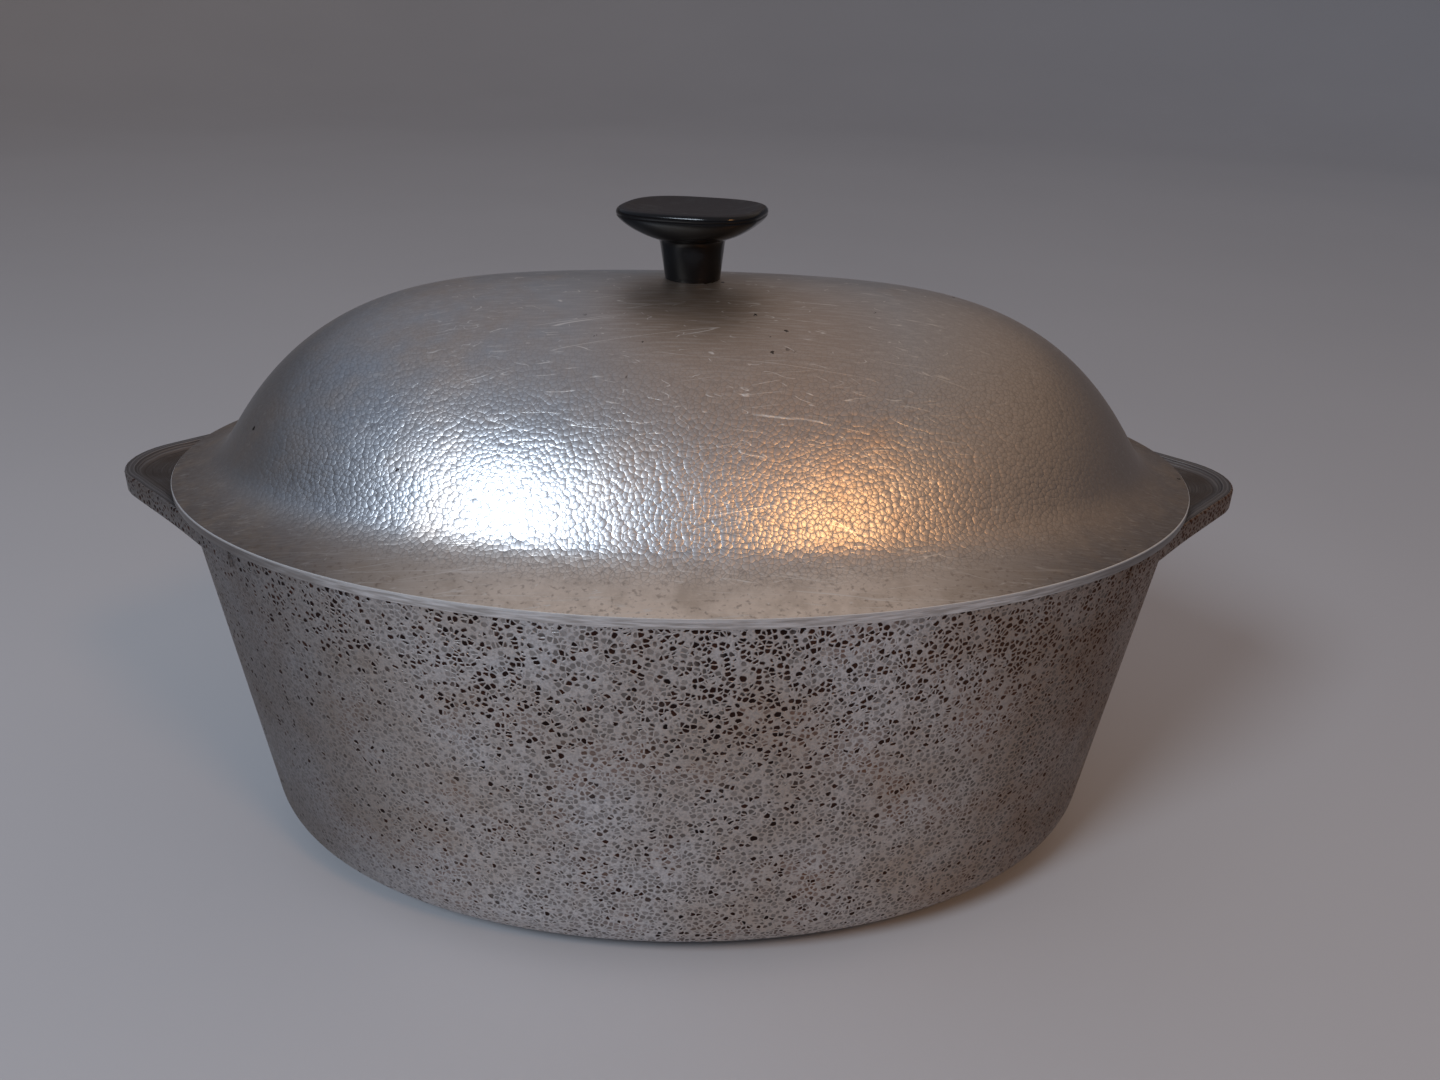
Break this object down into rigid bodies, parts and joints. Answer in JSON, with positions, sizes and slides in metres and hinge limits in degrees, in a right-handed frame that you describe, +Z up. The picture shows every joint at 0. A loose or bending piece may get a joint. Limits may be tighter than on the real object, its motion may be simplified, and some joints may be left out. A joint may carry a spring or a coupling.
{
  "type": "covered roaster",
  "caption": "Oval cast-aluminium roaster with a domed hammered lid, black dished knob, two pointed end lugs and a loose perforated trivet.",
  "frame": {"origin": "middle of the pot's flat base, on the surface it stands on", "axes": "+X along the long axis of the oval, from lug to lug, +Y across the pot, +Z up"},
  "size_m": [0.41, 0.2428, 0.2423],
  "materials": {
    "cast_aluminium_pot": "satin as-cast pebbled skin with dark cooked-on residue in the pits",
    "cast_aluminium_lid": "satin polished hammered dome, bright turned edge",
    "black_phenolic": "moulded phenolic, glossy below and worn matt on top",
    "brass": "turned",
    "zinc_plated_steel": "dull plated",
    "sheet_aluminium": "pressed sheet, dull"
  },
  "bodies": {
    "pot": {"pot_body": "cast_aluminium_pot"},
    "lid": {"lid_shell": "cast_aluminium_lid", "lid_knob": "black_phenolic", "knob_insert": "brass", "knob_screw": "zinc_plated_steel", "knob_washer": "zinc_plated_steel", "knob_lock_washer": "zinc_plated_steel"},
    "trivet": {"trivet": "sheet_aluminium"}
  },
  "joints": [
    {"name": "lid_lift", "type": "slide", "parent": "pot", "child": "lid", "axis": [0, 0, 1], "range_m": [0, 0.2]},
    {"name": "trivet_lift", "type": "slide", "parent": "pot", "child": "trivet", "axis": [0, 0, 1], "range_m": [0, 0.14]}
  ]
}
